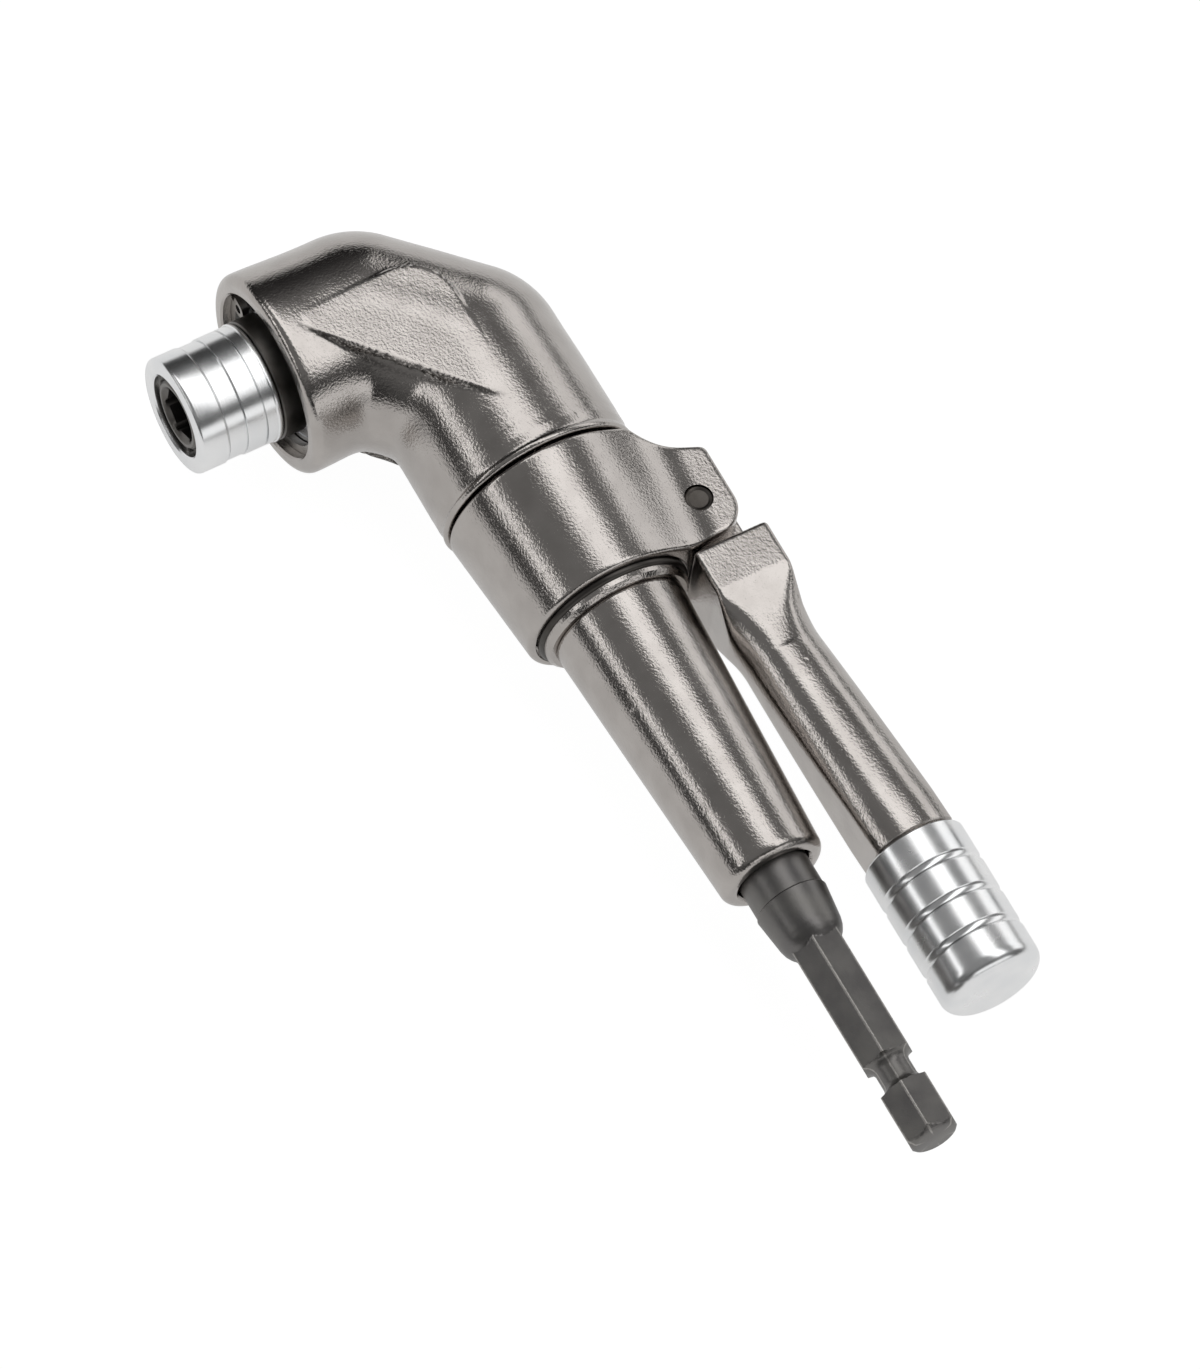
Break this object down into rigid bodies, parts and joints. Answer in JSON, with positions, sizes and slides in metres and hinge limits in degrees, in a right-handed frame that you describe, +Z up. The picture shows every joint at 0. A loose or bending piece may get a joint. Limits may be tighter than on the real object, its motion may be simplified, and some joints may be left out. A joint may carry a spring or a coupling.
{
  "type": "offset screwdriver",
  "caption": "Right-angle screwdriver attachment with hexagon drive shank, bevel gears in a bent plated head, sprung bit sleeve, and a side handle that swivels and folds along the barrel.",
  "frame": {"origin": "centre of the end face of the hexagon drive shank", "axes": "+X along the shank towards the gear head, +Y the way the bit points, +Z up as the tool lies on its side"},
  "size_m": [0.1429, 0.0593, 0.0266],
  "materials": {
    "plated_zinc": "zinc die casting, black nickel plated, soft cast edges",
    "dark_steel": "hardened steel, phosphated dark grey",
    "polished_aluminium": "turned and polished aluminium",
    "spring_steel": "spring steel, oiled",
    "gear_steel": "case hardened steel, machined",
    "bearing_steel": "ground bearing steel",
    "bronze": "sintered bronze, oil filled"
  },
  "bodies": {
    "housing": {"gear_housing": "plated_zinc", "collar_snap_ring": "spring_steel", "bell_circlip": "spring_steel", "lower_shaft_bush": "bronze", "upper_shaft_bush": "bronze", "spindle_tail_bush": "bronze", "pinion_thrust_washer": "bronze", "bearing_outer_race": "bearing_steel", "bearing_shield": "bearing_steel"},
    "input": {"input_shaft": "dark_steel", "input_pinion": "gear_steel"},
    "output": {"output_spindle": "dark_steel", "output_gear": "gear_steel", "bearing_inner_race": "bearing_steel", "bit_magnet": "bearing_steel", "nose_snap_ring": "spring_steel", "spring_washer": "spring_steel", "sleeve_spring": "spring_steel"},
    "ball_set": {"bearing_balls": "bearing_steel", "bearing_cage": "bronze"},
    "sleeve": {"bit_sleeve": "polished_aluminium"},
    "lock": {"locking_ball": "bearing_steel"},
    "collar": {"swivel_collar": "plated_zinc", "handle_pin": "dark_steel"},
    "handle": {"side_handle": "plated_zinc", "handle_end_cap": "polished_aluminium"}
  },
  "joints": [
    {"name": "input_spin", "type": "hinge", "parent": "housing", "child": "input", "pos_m": [0.06, 0, 0], "axis": [1, 0, 0], "continuous": true},
    {"name": "output_spin", "type": "hinge", "parent": "housing", "child": "output", "pos_m": [0.1296, 0.02, 0], "axis": [0, 1, 0], "continuous": true},
    {"name": "ball_set_spin", "type": "hinge", "parent": "housing", "child": "ball_set", "pos_m": [0.1296, 0.01745, 0], "axis": [0, 1, 0], "continuous": true},
    {"name": "sleeve_slide", "type": "slide", "parent": "output", "child": "sleeve", "axis": [0, 1, 0], "range_m": [0, 0.0022], "stiffness_N_per_m": 400, "springref_m": -0.003, "deforming": ["sleeve_spring"]},
    {"name": "lock_ball_lift", "type": "slide", "parent": "output", "child": "lock", "axis": [0, 0, 1], "range_m": [0, 0.00056]},
    {"name": "collar_swivel", "type": "hinge", "parent": "housing", "child": "collar", "pos_m": [0.091, 0, 0], "axis": [1, 0, 0], "continuous": true},
    {"name": "handle_fold", "type": "hinge", "parent": "collar", "child": "handle", "pos_m": [0.088, -0.015, 0], "axis": [0, 0, 1], "range_deg": [0, 90]}
  ],
  "couplings": [
    {"joint": "output_spin", "follows": "input_spin", "ratio": 1},
    {"joint": "ball_set_spin", "follows": "input_spin", "ratio": 0.40078},
    {"joint": "lock_ball_lift", "follows": "sleeve_slide", "ratio": 0.2545}
  ]
}
